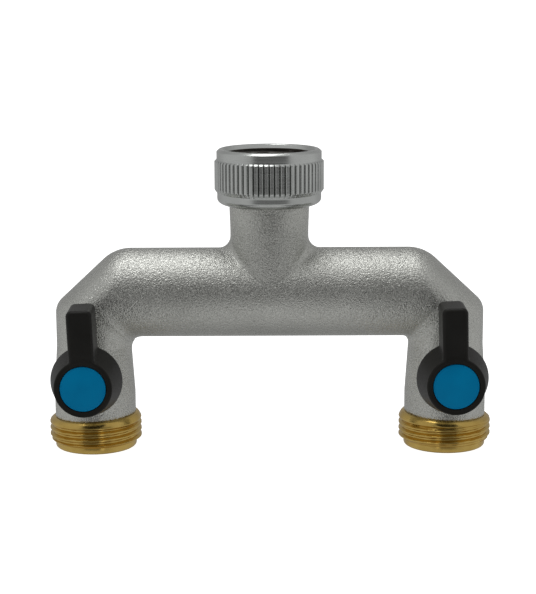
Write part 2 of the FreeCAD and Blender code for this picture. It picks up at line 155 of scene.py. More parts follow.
def passages(x, u, y, t, z):
    """Water passages, ball chambers and stem bores."""
    around_leg = np.hypot(u, y)
    elbow = np.minimum(
        np.maximum(np.hypot(y, t) - TUBE_CORE_R, u - TUBE_CORE_PAST_LEG),
        np.maximum(around_leg - LEG_CORE_R, np.maximum(t, VALVE_Z - z)),
    )
    elbow = np.maximum(elbow, corner_face(u, y, t)[0] + CORNER_WALL)
    neck = np.maximum(np.hypot(x, y) - NECK_CORE_R, -t)
    chamber = np.maximum(around_leg - CHAMBER_R, z - (VALVE_Z + CHAMBER_TOP))
    around_stem = np.hypot(u, z - VALVE_Z)
    stem_bore = np.maximum(around_stem - STEM_BORE_R, y)
    counterbore = np.maximum(around_stem - COUNTERBORE_R, np.maximum(y, -y - COUNTERBORE_END))
    hollow = np.minimum(np.minimum(elbow, neck), chamber)
    return np.minimum(hollow, np.minimum(stem_bore, counterbore))


def casting_field(x, y, z):
    u = np.abs(x) - LEG_X
    t = z - TUBE_Z
    around_tube = np.maximum(np.hypot(y, t), TINY)
    tube = around_tube - TUBE_R

    # The leg is as deep as the tube where the two meet, and turns round further down.
    slant = t - TUBE_R * u / LEG_TOP_R
    length = TUBE_R * u / LEG_TOP_R + (TUBE_Z - LEG_DRAFT[0])
    turned = np.clip(-slant / np.maximum(length, 1.0), 0.0, 1.0)
    drafted = np.clip((LEG_DRAFT[0] - z) / (LEG_DRAFT[0] - LEG_DRAFT[1]), 0.0, 1.0)
    widened = (LEG_END_R - LEG_TOP_R) * drafted
    half_width = LEG_TOP_R + widened
    half_depth = TUBE_R + (LEG_TOP_R - TUBE_R) * turned + widened
    normal_u = u / half_width ** 2
    normal_y = y / half_depth ** 2
    ratio = np.maximum(np.hypot(u / half_width, y / half_depth), TINY)
    steepness = np.maximum(np.hypot(normal_u, normal_y), TINY)
    leg = (ratio - 1.0) * ratio / steepness

    # Mitred elbow, with the crease between tube and leg rounded off.
    plane = math.hypot(1.0 / LEG_TOP_R, 1.0 / TUBE_R)
    plane_u = -1.0 / LEG_TOP_R / plane
    plane_t = 1.0 / TUBE_R / plane
    from_plane = plane_u * u + plane_t * t
    turn = plane_t * t / around_tube - plane_u * normal_u / steepness
    reach = np.where(x < 0.0, *CREASE_REACH)
    crease = turn * np.maximum(reach - np.abs(from_plane), 0.0) ** 2 / (4.0 * reach)
    pipe = np.where(from_plane > 0.0, tube, leg) + crease

    share = smooth_step(from_plane, -CREASE_BLEND, CREASE_BLEND)
    outward_u = (1.0 - share) * normal_u / steepness
    outward_y = (1.0 - share) * normal_y / steepness + share * y / around_tube
    outward_t = share * t / around_tube
    corner, facing, sideways = corner_face(u, y, t)
    along_face = outward_u * math.sin(CORNER_SLOPE) + outward_t * math.cos(CORNER_SLOPE)
    cosine = np.clip(along_face * facing + outward_y * sideways, -COSINE_LIMIT, COSINE_LIMIT)
    setback = CORNER_SETBACK_SIDE + (CORNER_SETBACK_TOP - CORNER_SETBACK_SIDE) * share
    corner_round = setback / np.sqrt((1.0 - cosine) / (1.0 + cosine))
    outer = rounded_intersection(pipe, corner, cosine, np.minimum(corner_round, CORNER_ROUND_MOST))

    # Neck, with the retaining ring's groove
    around_neck = np.maximum(np.hypot(x, y), TINY)
    draft = smooth_step(-z, -NECK_DRAFT[0], -NECK_DRAFT[1])
    neck_y = y / (1.0 + (NECK_DEEPER - 1.0) * draft)
    neck = np.hypot(x, neck_y) - (NECK_R[0] + (NECK_R[1] - NECK_R[0]) * draft)
    neck_side = np.maximum(neck, -t)
    fillet = NECK_FILLET[0] + (NECK_FILLET[1] - NECK_FILLET[0]) * (x / around_neck) ** 6
    outer = rounded_union(outer, neck_side, y * y / (around_neck * around_tube), fillet)
    outer = np.maximum(outer, np.minimum(around_neck - RING_GROOVE_R, -band_field(z, RING_GROOVE)))
    rim_chamfer = (around_neck + z - (NECK_R[0] + NECK_TOP_Z - NECK_TOP_CHAMFER)) * math.sqrt(0.5)
    rim_chamfer = np.where(z > NECK_TOP_Z - 2.0, rim_chamfer, -FAR)
    outer = np.maximum(outer, np.maximum(z - NECK_TOP_Z, rim_chamfer))

    # Valve boss with the stop lug on its end
    up = z - VALVE_Z
    around_valve = np.maximum(np.hypot(u, up), TINY)
    boss = np.maximum(around_valve - BOSS_R, y)
    boss_cosine = np.clip(normal_u / steepness * u / around_valve, -COSINE_LIMIT, COSINE_LIMIT)
    outer = rounded_union(outer, boss, boss_cosine, BOSS_FILLET)
    edge = (around_valve - y - (BOSS_R + BOSS_END - BOSS_CHAMFER)) * math.sqrt(0.5)
    outer = np.maximum(outer, np.where(around_valve < 2 * BOSS_R, np.maximum(-y - BOSS_END, edge), -FAR))
    wedge = np.abs(u) * math.cos(LUG_HALF_ANGLE) + up * math.sin(LUG_HALF_ANGLE)
    lug = np.maximum(band_field(around_valve, LUG_R), np.maximum(wedge, band_field(-y, LUG_DEPTH)))
    outer = np.minimum(outer, lug)

    # Lower end of each leg, let into the outlet
    outer = np.maximum(outer, LEG_END_Z - SEATED - z + seam_shift(u))
    return np.maximum(outer, -passages(x, u, y, t, z))


# Handle, built about its own axis: x to the right, y along the lever, z towards the front
SKIRT = ((19.6, 10.1), (30.0, 7.9))
SKIRT_COSINE = 0.2             # between the skirt's side and its front
SKIRT_EDGES = (0.35, 0.45)     # rear and front
LEVER = (7.05, 21.6, 18.0)     # width, reach from the axis, rear depth
LEVER_TAIL = 4.0               # how far its outline runs on past the axis, inside the skirt
LEVER_CORNER = 1.6
LEVER_EDGE = 1.05
LEVER_FILLET = 0.6
CAVITY = ((17.0, 8.6), (24.6, 8.0))
HUB = (4.3, (23.0, 25.1))      # radius, rear and front
RIB = (6.5, (22.8, 25.1))
NO_RIB = (47.0, 224.3)         # degrees clockwise from the lever where the stop rib leaves room for the lug
SOCKET = (2.15, 25.85)         # half its width, front end
SCREW_HOLE = (1.7, 27.0)       # radius, front end
SCREW_RECESS = (3.5, 26.65)    # radius, rear end
CAP_RECESS = (6.42, 28.75)


def cone_field(around, z, ends):
    (low, low_r), (high, high_r) = ends
    slope = (high_r - low_r) / (high - low)
    return (around - low_r - slope * (z - low)) / math.hypot(1.0, slope)


def handle_field(x, y, z):
    around = np.hypot(x, y)
    front = SKIRT[1][0]
    skirt = rounded_intersection(cone_field(around, z, SKIRT), z - front, SKIRT_COSINE, SKIRT_EDGES[1])
    skirt = rounded_intersection(skirt, SKIRT[0][0] - z, -SKIRT_COSINE, SKIRT_EDGES[0])
    width, reach, rear = LEVER
    middle = (reach - LEVER_TAIL) / 2
    outline = box_field((x, y - middle), (width / 2, (reach + LEVER_TAIL) / 2), LEVER_CORNER)
    lever = rounded_intersection(outline, band_field(z, (rear, front)), 0.0, LEVER_EDGE)
    lever = np.maximum(lever, -y)
    cosine = np.clip(np.abs(x) / np.maximum(around, TINY), 0.0, COSINE_LIMIT)
    body = rounded_union(skirt, lever, cosine, LEVER_FILLET)
    body = np.maximum(body, -np.maximum(cone_field(around, z, CAVITY), z - CAVITY[1][0]))

    hub = np.maximum(around - HUB[0], band_field(z, HUB[1]))
    clockwise = np.degrees(np.arctan2(x, y)) % 360.0
    in_rib = np.where((clockwise > NO_RIB[1]) | (clockwise < NO_RIB[0]), -1.0, 1.0)
    rib = np.maximum(np.maximum(around - RIB[0], in_rib), band_field(z, RIB[1]))
    body = np.minimum(body, np.minimum(hub, rib))
    socket = np.maximum(np.maximum(np.abs(x), np.abs(y)) - SOCKET[0], z - SOCKET[1])
    screw_hole = np.maximum(around - SCREW_HOLE[0], z - SCREW_HOLE[1])
    screw_recess = np.maximum(around - SCREW_RECESS[0], SCREW_RECESS[1] - z)
    cap_recess = np.maximum(around - CAP_RECESS[0], CAP_RECESS[1] - z)
    hollow = np.minimum(np.minimum(socket, screw_hole), np.minimum(screw_recess, cap_recess))
    return np.maximum(body, -hollow)


# Meshes ------------------------------------------------------------------------------------------


def new_object(name, points, faces, sharp_angle=None):
    """Mesh object from points in metres and an array of faces with the same number of corners each."""
    mesh = bpy.data.meshes.new(name)
    count, corners = faces.shape
    mesh.vertices.add(len(points))
    mesh.vertices.foreach_set("co", np.ascontiguousarray(points, np.float32).ravel())
    mesh.loops.add(count * corners)
    mesh.loops.foreach_set("vertex_index", np.ascontiguousarray(faces, np.int32).ravel())
    mesh.polygons.add(count)
    mesh.polygons.foreach_set("loop_start", np.arange(0, count * corners, corners, dtype=np.int32))
    mesh.update(calc_edges=True)
    mesh.validate()
    mesh.shade_smooth()
    if sharp_angle is not None:
        mesh.set_sharp_from_angle(angle=math.radians(sharp_angle))
    made = bpy.data.objects.new(name, mesh)
    bpy.context.scene.collection.objects.link(made)
    return made


def surface_of(field, low, high, step):
    """Points (mm) and quads of the field's surface inside a box. The points are moved onto the surface."""
    axes = [np.arange(a - 2 * step, b + 3 * step, step) for a, b in zip(low, high)]
    x, y, z = np.meshgrid(*axes, indexing="ij")
    grid = openvdb.FloatGrid(background=4 * step)
    grid.copyFromArray(np.clip(field(x, y, z), -4 * step, 4 * step).astype(np.float32))
    points, quads = grid.convertToQuads(isovalue=0.0)
    points = points.astype(float) * step + np.array([axis[0] for axis in axes])
    nudge = 0.02
    for _ in range(3):
        here = field(*points.T)
        gradient = np.empty_like(points)
        for axis in range(3):
            shift = np.zeros(3)
            shift[axis] = nudge
            gradient[:, axis] = field(*(points + shift).T) - field(*(points - shift).T)
        gradient /= 2 * nudge
        steep = np.maximum((gradient ** 2).sum(1), 0.25)
        move = np.clip(here / steep, -0.5 * step, 0.5 * step)
        points = points - move[:, None] * gradient
    return points, quads


def lathe(name, radius, height, place, sharp_angle=35.0):
    """Surface of revolution from grids of radius and height (mm) against angle, closed on itself."""
    rows, columns = radius.shape
    angle = np.linspace(0.0, 2 * math.pi, columns, endpoint=False)
    points = np.stack([radius * np.cos(angle), radius * np.sin(angle), height], axis=-1).reshape(-1, 3)
    row = np.arange(rows)[:, None]
    column = np.arange(columns)[None, :]
    next_row = (row + 1) % rows
    next_column = (column + 1) % columns
    quads = np.stack([
        row * columns + column, row * columns + next_column,
        next_row * columns + next_column, next_row * columns + column,
    ], axis=-1).reshape(-1, 4)
    return new_object(name, place(points), quads, sharp_angle)


def on_leg(side):
    return lambda points: (points + np.array([side * LEG_X, 0.0, 0.0])) * MM


def on_valve(side):
    """From handle coordinates to the frame of the part, with the open lever's lean."""
    def place(points):
        x, y, z = points.T
        lean, shift_right, shift_up = SEATING[side]
        right = x * math.cos(lean) - y * math.sin(lean) + shift_right
        up = x * math.sin(lean) + y * math.cos(lean) + shift_up
        return np.stack([side * LEG_X + right, -z, VALVE_Z + up], axis=-1) * MM
    return place


def rows_along(*corners, spacing=0.5):
    """Rows of a profile: straight runs between (radius, height) corners, divided evenly."""
    found = []
    for start, end in zip(corners[:-1], corners[1:]):
        count = max(1, math.ceil(math.dist(start, end) / spacing))
        for index in range(count):
            share = index / count
            found.append((start[0] + (end[0] - start[0]) * share, start[1] + (end[1] - start[1]) * share))
    found.append(corners[-1])
    return found


def arc(centre, radius_r, radius_z, start, end, count=6):
    """Rows on a quarter of an ellipse, angles in degrees from the outward direction."""
    angles = np.radians(np.linspace(start, end, count))
    return [(centre[0] + radius_r * math.cos(a), centre[1] + radius_z * math.sin(a)) for a in angles]


def thread_radius(phase, low_r, high_r, pitch, land=0.34):
    """Radius of a pipe thread with a crest at each whole phase."""
    from_crest = np.abs((phase + 0.5) % 1.0 - 0.5) * pitch
    run = pitch / 2 - land
    fall = np.clip((from_crest - land / 2) / run, 0.0, 1.0)
    eased = fall + 0.05 * np.sin(2 * math.pi * fall)
    return high_r + (low_r - high_r) * eased


PITCH = 1.814


def constant_rows(rows, angle):
    """Radius and height grids of rows that are the same at every angle."""
    radius, height = np.array(rows).T
    return radius[:, None] + 0.0 * angle, height[:, None] + 0.0 * angle


# Swivel nut --------------------------------------------------------------------------------------

KNURLS = 64
KNURL_COLUMNS = 8
KNURL_ROOT_R = 14.82
KNURL_HEIGHT = 0.65
KNURL_FLANK = 0.22             # share of one ridge that each flank takes
KNURL_ENDS = (-4.4, 5.12)
LOWER_BAND_R = 14.74
UPPER_BAND_R = 14.85
NUT_MINOR_R = 12.15
NUT_MAJOR_R = 13.30
NUT_FIRST_ROOT = 0.45          # phase of the inside thread


def build_nut():
    columns = KNURLS * KNURL_COLUMNS
    angle = np.linspace(0.0, 2 * math.pi, columns, endpoint=False)
    outside = rows_along((11.38, -7.8), (12.2, -7.8))
    outside += arc((11.84, -5.95), 2.9, 1.85, -82, 0, 12)
    outside += rows_along((LOWER_BAND_R, -5.85), (LOWER_BAND_R, -4.45), spacing=0.5)
    outside += rows_along((14.76, -4.38), (15.43, -3.42), spacing=0.25)
    outside += rows_along((15.47, -3.3), (15.47, -3.0), (15.47, 4.2), (15.47, 4.5), spacing=1.2)
    outside += rows_along((15.45, 4.55), (14.87, 5.1), spacing=0.2)
    upper_band = [(UPPER_BAND_R, height) for height in (5.2, 5.4, 7.05, 7.25)]
    outside += rows_along(*upper_band, spacing=0.8)
    outside += rows_along((14.78, 7.38), (14.26, 7.83), spacing=0.2)
    outside += [(14.1, 7.93), (13.9, 7.99), (13.7, 8.0), (13.3, 8.0)]
    outside += arc((13.2, 7.9), 0.1, 0.1, 90, 180, 3)
    radius, height = constant_rows(outside, angle)

    # Straight knurl: rounded ridges between V grooves, cut only where the band stands proud.
    turn = (angle * KNURLS / (2 * math.pi)) % 1.0
    from_groove = np.minimum(turn, 1.0 - turn)
    flank = np.clip(from_groove / KNURL_FLANK, 0.0, 1.0)
    ridge = KNURL_ROOT_R + KNURL_HEIGHT * np.sin(flank * math.pi / 2) ** 1.1
    in_knurl = (height > KNURL_ENDS[0]) & (height < KNURL_ENDS[1])
    band = np.where(height < 0.0, LOWER_BAND_R, UPPER_BAND_R)
    radius = np.where(in_knurl, np.minimum(radius, np.maximum(ridge, band)), radius)

    # Inside thread, running out below into the washer seat
    levels = np.arange(7.8, -0.15, -0.12)[:, None]
    phase = (levels + NUT_FIRST_ROOT) / PITCH - angle / (2 * math.pi)
    inner = thread_radius(phase, NUT_MAJOR_R, NUT_MINOR_R, PITCH)
    chamfer = 12.42 + (levels - 6.8) * 0.55
    inner = np.where(levels > 6.8, chamfer, np.minimum(inner, 12.42 + (6.8 - levels) * 1.2))
    inner = NUT_MINOR_R + (inner - NUT_MINOR_R) * smooth_step(levels, -0.1, 0.7)

    # Relief for the washer and the retaining ring
    inside = rows_along((NUT_MINOR_R, -0.2), (13.3, -0.65), (13.3, -5.4), (11.38, -5.4), spacing=1.5)
    inside_radius, inside_height = constant_rows(inside + [(11.38, -6.5)], angle)
    radius = np.concatenate([radius, inner, inside_radius])
    height = np.concatenate([height, levels + 0.0 * angle, inside_height])
    return lathe("swivel_nut_knurled", radius, height, lambda points: points * MM, 40.0)


# Outlets -----------------------------------------------------------------------------------------


FIRST_CREST = {-1: 3.03, 1: 3.83}      # height of the lowest crest on the right of each outlet
CREST_R = 13.2
ROOT_R = 12.38
COLLAR_R = 13.03                       # the grooves fade out into a collar below the seam
COLLAR_HEIGHTS = (7.2, 8.2)
THREAD_TOP = 9.62
CREST_LAND = 0.42
SPIGOT_R = 9.25                        # the part inside the leg


def build_outlet(side, name):
    columns = 200
    angle = np.linspace(0.0, 2 * math.pi, columns, endpoint=False)
    levels = np.arange(1.95, THREAD_TOP, 0.085)[:, None]
    phase = (levels - FIRST_CREST[side]) / PITCH - angle / (2 * math.pi)
    root = ROOT_R + (COLLAR_R - ROOT_R) * smooth_step(levels, *COLLAR_HEIGHTS)
    thread = thread_radius(phase, root, CREST_R, PITCH, CREST_LAND)
    lead_in = 11.72 + (levels - 1.9) * 1.6
    run_out = 11.75 + np.sqrt(np.maximum(THREAD_TOP - levels, 0.0) * 1.45)
    thread = np.minimum(thread, np.minimum(lead_in, run_out))

    below = rows_along((7.0, 1.0), (7.0, 0.45), (7.45, 0.0), (10.9, 0.0), spacing=1.0)
    below += arc((10.9, 0.8), 0.8, 0.8, -80, 0, 6)
    below += [(11.7, 1.35), (11.7, 1.9)]
    above = rows_along(
        (11.7, 9.675), (SPIGOT_R, 9.675), (SPIGOT_R, 11.8), (8.05, 11.8), (8.05, 13.6),
        (SPIGOT_R, 13.6), (SPIGOT_R, 15.75), (7.0, 15.75), spacing=1.2,
    )
    rows = (constant_rows(below, angle), (thread, levels + 0.0 * angle), constant_rows(above, angle))
    radius = np.concatenate([row[0] for row in rows])
    height = np.concatenate([row[1] for row in rows])

    # The top follows the tilt of the leg's end
    outward = side * LEG_END_R * np.cos(angle)
    outside_leg = radius > SPIGOT_R + 0.05
    height = height + seam_shift(outward) * smooth_step(height, 7.4, 9.6) * outside_leg + BASE_Z
    return lathe(name, radius, height, on_leg(side), 50.0)


# Handles and caps --------------------------------------------------------------------------------


def build_handle(side, name, shape):
    points, quads = shape
    return new_object(name, on_valve(side)(points), quads, 50.0)


def build_cap(side, name):
    columns = 128
    edge_r = 6.28
    dome = [(r, 29.84 + 0.35 * (1.0 - (r / 6.05) ** 2)) for r in (0.02, 1.0, 2.0, 3.0, 4.0, 5.0, 5.6, 5.9)]
    profile = [(0.02, 28.8), (3.0, 28.8), (6.1, 28.8), (edge_r, 28.95), (edge_r, 29.5)]
    profile += arc((5.98, 29.66), 0.30, 0.30, 0, 80, 5)
    profile += reversed(dome)
    angle = np.linspace(0.0, 2 * math.pi, columns, endpoint=False)
    radius, height = constant_rows(profile, angle)
    return lathe(name, radius, height, on_valve(side), 40.0)


# Materials ---------------------------------------------------------------------------------------


class Nodes:
    """Small helper for building one material's node tree."""

    def __init__(self, name):
        self.material = bpy.data.materials.new(name)
        self.material.use_nodes = True
        self.tree = self.material.node_tree
        self.shader = self.tree.nodes["Principled BSDF"]
        self.place = self.tree.nodes.new("ShaderNodeTexCoord").outputs["Object"]

    def add(self, kind, **settings):
        node = self.tree.nodes.new(kind)
        for key, value in settings.items():
            setattr(node, key, value)
        return node

    def link(self, source, target):
        self.tree.links.new(source, target)

    def noise(self, scale, detail=3.0, roughness=0.5, stretch=None):
        """Noise with features of about 1/scale metres; stretch scales the coordinates first."""
        place = self.place
        if stretch is not None:
            mapping = self.add("ShaderNodeMapping")
            mapping.inputs["Scale"].default_value = stretch
            self.link(place, mapping.inputs["Vector"])
            place = mapping.outputs["Vector"]
        node = self.add("ShaderNodeTexNoise")
        node.inputs["Scale"].default_value = scale
        node.inputs["Detail"].default_value = detail
        node.inputs["Roughness"].default_value = roughness
        self.link(place, node.inputs["Vector"])
        return node.outputs["Fac"]

    def ranged(self, source, low, high, out_low, out_high):
        node = self.add("ShaderNodeMapRange", clamp=True)
        for key, value in zip(("From Min", "From Max", "To Min", "To Max"), (low, high, out_low, out_high)):
            node.inputs[key].default_value = value
        self.link(source, node.inputs["Value"])
        return node.outputs["Result"]

    def mixed(self, factor, first, second):
        node = self.add("ShaderNodeMix", data_type="RGBA")
        node.inputs["A"].default_value = (*first, 1.0)
        node.inputs["B"].default_value = (*second, 1.0)
        self.link(factor, node.inputs["Factor"])
        return node.outputs["Result"]

    def blended(self, factor, first, second):
        """From a linked colour towards a plain one."""
        node = self.add("ShaderNodeMix", data_type="RGBA")
        self.link(factor, node.inputs["Factor"])
        self.link(first, node.inputs["A"])
        node.inputs["B"].default_value = (*second, 1.0)
        return node.outputs["Result"]

    def maths(self, operation, first, second):
        node = self.add("ShaderNodeMath", operation=operation)
        for socket, value in zip(node.inputs, (first, second)):
            if isinstance(value, (int, float)):
                socket.default_value = value
            else:
                self.link(value, socket)
        return node.outputs["Value"]

    def bump(self, height, strength, distance, before=None):
        node = self.add("ShaderNodeBump")
        node.inputs["Strength"].default_value = strength
        node.inputs["Distance"].default_value = distance
        self.link(height, node.inputs["Height"])
        if before is not None:
            self.link(before, node.inputs["Normal"])
        return node.outputs["Normal"]

    def finish(self, colour, roughness, normal=None, metallic=0.0, specular=0.5):
        self.shader.inputs["Metallic"].default_value = metallic
        self.shader.inputs["Specular IOR Level"].default_value = specular
        self.link(colour, self.shader.inputs["Base Color"])
        self.link(roughness, self.shader.inputs["Roughness"])
        if normal is not None:
            self.link(normal, self.shader.inputs["Normal"])
        return self.material


def cast_nickel():
    """Blasted casting under a thin nickel plate: fine pits and grains under a millimetre across."""
    n = Nodes("cast_nickel")
    grain = n.noise(3400.0, 1.0, 0.5)
    coarse = n.noise(1500.0, 1.0, 0.5)
    broad = n.noise(60.0, 2.0, 0.5)
    tone = n.maths("ADD", n.maths("MULTIPLY", grain, 0.7), n.maths("MULTIPLY", broad, 0.3))
    colour = n.mixed(n.ranged(tone, 0.35, 0.65, 0.0, 1.0), (0.47, 0.475, 0.445), (0.64, 0.645, 0.61))
    roughness = n.ranged(coarse, 0.3, 0.7, 0.23, 0.31)
    height = n.maths("ADD", grain, n.maths("MULTIPLY", coarse, 0.7))
    return n.finish(colour, roughness, n.bump(height, 1.0, 0.00018), metallic=1.0)


def turned_nickel():
    """Plated nut: smooth, with faint turning marks around its axis, and painted shade in the knurl grooves
    and down inside the thread.
    """
    n = Nodes("turned_nickel")
    marks = n.noise(900.0, 2.0, 0.5, stretch=(0.06, 0.06, 3.0))
    broad = n.noise(120.0, 2.0, 0.5)
    plated = n.mixed(n.ranged(broad, 0.3, 0.7, 0.0, 1.0), (0.49, 0.505, 0.49), (0.59, 0.605, 0.59))
    place = n.add("ShaderNodeSeparateXYZ")
    n.link(n.place, place.inputs["Vector"])
    squares = [n.maths("MULTIPLY", place.outputs[axis], place.outputs[axis]) for axis in "XY"]
    around = n.maths("SQRT", n.maths("ADD", *squares), 0.0)
    in_bore = n.ranged(around, 13.33 * MM, 13.30 * MM, 0.0, 1.0)
    # Painted shade: the inside thread is coloured dark, standing in for the shade down inside the nut, and
    # is also made rougher.
    thread_shade_mask = n.maths("MULTIPLY", in_bore, n.ranged(place.outputs["Z"], 6.9 * MM, 6.6 * MM, 0.0, 1.0))
    below_ridges = n.ranged(around, 15.35 * MM, 14.95 * MM, 0.0, 1.0)
    between_bevels = n.maths(
        "MULTIPLY",
        n.ranged(place.outputs["Z"], 4.7 * MM, 4.4 * MM, 0.0, 1.0),
        n.ranged(place.outputs["Z"], -3.8 * MM, -3.4 * MM, 0.0, 1.0),
    )
    # Painted shade: the knurl grooves are coloured darker, standing in for the shade between the ridges.
    groove_shade_mask = n.maths("MULTIPLY", below_ridges, between_bevels)
    groove_shade_mask = n.maths("MULTIPLY", groove_shade_mask, n.ranged(around, 14.0 * MM, 14.1 * MM, 0.0, 1.0))
    # Plated colour, then the painted groove shade, then the painted thread shade.
    colour = n.blended(thread_shade_mask, n.blended(groove_shade_mask, plated, (0.26, 0.27, 0.26)), (0.23, 0.225, 0.21))
    roughness = n.maths("ADD", n.ranged(marks, 0.3, 0.7, 0.16, 0.28), n.maths("MULTIPLY", thread_shade_mask, 0.3))
    return n.finish(colour, roughness, n.bump(marks, 0.12, 0.00006), metallic=1.0)


def brass():
    """Turned brass with fine tool marks and slight tarnish."""
    n = Nodes("outlet_brass")
    marks = n.noise(900.0, 2.0, 0.5, stretch=(0.06, 0.06, 3.0))
    broad = n.noise(180.0, 3.0, 0.6)
    colour = n.mixed(n.ranged(broad, 0.3, 0.7, 0.0, 1.0), (0.545, 0.365, 0.095), (0.66, 0.465, 0.14))
    roughness = n.ranged(marks, 0.3, 0.7, 0.18, 0.29)
    return n.finish(colour, roughness, n.bump(marks, 0.10, 0.00005), metallic=1.0)


def black_plastic():
    """Moulded black plastic with a fine satin texture."""
    n = Nodes("black_plastic")
    grain = n.noise(2600.0, 2.0, 0.5)
    broad = n.noise(140.0, 2.0, 0.5)
    colour = n.mixed(n.ranged(broad, 0.3, 0.7, 0.0, 1.0), (0.0135, 0.013, 0.0115), (0.0195, 0.019, 0.017))
    roughness = n.ranged(grain, 0.3, 0.7, 0.36, 0.48)
    return n.finish(colour, roughness, n.bump(grain, 0.12, 0.00005), specular=0.15)


def blue_plastic():
    n = Nodes("blue_plastic")
    grain = n.noise(2200.0, 2.0, 0.5)
    broad = n.noise(160.0, 2.0, 0.5)
    colour = n.mixed(n.ranged(broad, 0.3, 0.7, 0.0, 1.0), (0.0, 0.235, 0.50), (0.0, 0.27, 0.56))
    roughness = n.ranged(grain, 0.3, 0.7, 0.34, 0.44)
    return n.finish(colour, roughness, n.bump(grain, 0.08, 0.00004), specular=0.06)


def plain_metal(name, dark, light, rough_low, rough_high, scale=700.0):
    n = Nodes(name)
    marks = n.noise(scale, 3.0, 0.5)
    colour = n.mixed(n.ranged(marks, 0.3, 0.7, 0.0, 1.0), dark, light)
    roughness = n.ranged(marks, 0.3, 0.7, rough_low, rough_high)
    return n.finish(colour, roughness, n.bump(marks, 0.06, 0.00004), metallic=1.0)


def soft_solid(name, dark, light, rough_low, rough_high, scale=1200.0):
    """Rubber and PTFE."""
    n = Nodes(name)
    grain = n.noise(scale, 3.0, 0.6)
    colour = n.mixed(n.ranged(grain, 0.3, 0.7, 0.0, 1.0), dark, light)
    roughness = n.ranged(grain, 0.3, 0.7, rough_low, rough_high)
    return n.finish(colour, roughness, n.bump(grain, 0.15, 0.00008))


MATERIALS = {
    "cast_nickel": cast_nickel(),
    "turned_nickel": turned_nickel(),
    "outlet_brass": brass(),
    "stem_brass": plain_metal("stem_brass", (0.50, 0.34, 0.10), (0.64, 0.46, 0.16), 0.25, 0.38),
    "chrome_ball": plain_metal("chrome_ball", (0.70, 0.70, 0.71), (0.80, 0.80, 0.80), 0.07, 0.14),
    "steel": plain_metal("steel", (0.48, 0.48, 0.47), (0.60, 0.60, 0.59), 0.25, 0.38),
    "ptfe": soft_solid("ptfe", (0.74, 0.74, 0.72), (0.84, 0.84, 0.82), 0.35, 0.5),
    "black_rubber": soft_solid("black_rubber", (0.012, 0.012, 0.012), (0.03, 0.03, 0.03), 0.5, 0.7),
    "washer_rubber": soft_solid("washer_rubber", (0.10, 0.014, 0.010), (0.15, 0.022, 0.016), 0.5, 0.65),
    "black_plastic": black_plastic(),
    "blue_plastic": blue_plastic(),
}


def paint(piece, slot):
    piece.data.materials.clear()
    piece.data.materials.append(MATERIALS[slot])


def put(piece, body, slot, *nodes):
    """Give a visual piece its material, let it ride on a body and stand for CAD nodes."""
    paint(piece, slot)
    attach(piece, body)
    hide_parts(*nodes)


# Pieces ------------------------------------------------------------------------------------------

cast_step = 0.45
points, quads = surface_of(casting_field, (-62.5, -24.5, -68.6), (62.5, 12.9, -1.8), cast_step)
put(new_object("manifold_casting", points * MM, quads), "manifold", "cast_nickel", "manifold_body")
put(build_nut(), "inlet_nut", "turned_nickel", "swivel_nut")

handle_step = 0.28
handle_shape = surface_of(handle_field, (-10.2, -10.2, 17.8), (10.2, 21.5, 30.2), handle_step)
for side, hand in ((-1, "left"), (1, "right")):
    body = f"{hand}_valve"
    put(build_outlet(side, f"{hand}_outlet_threaded"), "manifold", "outlet_brass", f"{hand}_outlet_tail")
    put(build_handle(side, f"{hand}_handle_moulding", handle_shape), body, "black_plastic", f"{hand}_handle")
    put(build_cap(side, f"{hand}_cap_disc"), body, "blue_plastic", f"{hand}_handle_cap")

CARRIED = {
    "retaining_ring": "steel",
    "inlet_washer": "washer_rubber",
    "ball": "chrome_ball",
    "stem": "stem_brass",
    "stem_orings": "black_rubber",
    "handle_screw": "steel",
    "screw_washer": "steel",
    "thrust_washer": "ptfe",
    "upper_seat": "ptfe",
    "lower_seat": "ptfe",
    "outlet_oring": "black_rubber",
}
for name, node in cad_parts.items():
    kind = name.removeprefix("left_").removeprefix("right_")
    if kind in CARRIED:
        paint(node, CARRIED[kind])


# Studio ------------------------------------------------------------------------------------------

CAMERA_PLACE = (-0.00046, -0.480, 0.0578)
CAMERA_PITCH = 0.1902
CAMERA_ROLL = -0.004
LENS = 103.47


def build_camera():
    data = bpy.data.cameras.new("camera")
    data.sensor_width = 36.0
    data.lens = LENS
    data.clip_start = 0.01
    data.clip_end = 200.0
    camera = bpy.data.objects.new("camera", data)
    turn = Matrix.Rotation(math.pi / 2 - CAMERA_PITCH, 4, "X") @ Matrix.Rotation(CAMERA_ROLL, 4, "Z")
    camera.matrix_world = Matrix.Translation(CAMERA_PLACE) @ turn
    bpy.context.scene.collection.objects.link(camera)
    bpy.context.scene.camera = camera


def build_floor():
    half = 5.0
    low = BASE_Z * MM
    corners = ((-half, -half), (half, -half), (half, half), (-half, half))
    points = np.array([(x, y, z) for z in (low, half) for x, y in corners])
    floor = new_object("floor", points[:4], np.array([[0, 1, 2, 3]]))
    sides = [[k, (k + 1) % 4, (k + 1) % 4 + 4, k + 4] for k in range(4)]
    walls = new_object("backdrop", points, np.array(sides + [[4, 5, 6, 7]]))
    material = bpy.data.materials.new("floor")
    material.use_nodes = True
    shader = material.node_tree.nodes["Principled BSDF"]
    shader.inputs["Base Color"].default_value = (0.6, 0.6, 0.6, 1.0)
    shader.inputs["Roughness"].default_value = 0.9
    shader.inputs["Specular IOR Level"].default_value = 0.0
    shader.inputs["Emission Color"].default_value = (1.0, 1.0, 1.0, 1.0)
    shader.inputs["Emission Strength"].default_value = 0.96
    for piece in (floor, walls):
        piece.data.materials.append(material)
        piece.visible_glossy = False
        piece.visible_diffuse = False
    walls.visible_shadow = False


def softbox(name, place, target, width, height, power):
    data = bpy.data.lights.new(name, "AREA")
    data.shape = "RECTANGLE"
    data.size = width
    data.size_y = height
    data.energy = power
    light = bpy.data.objects.new(name, data)
    light.location = place
    light.rotation_euler = (Vector(target) - Vector(place)).to_track_quat("-Z", "Y").to_euler()
    bpy.context.scene.collection.objects.link(light)


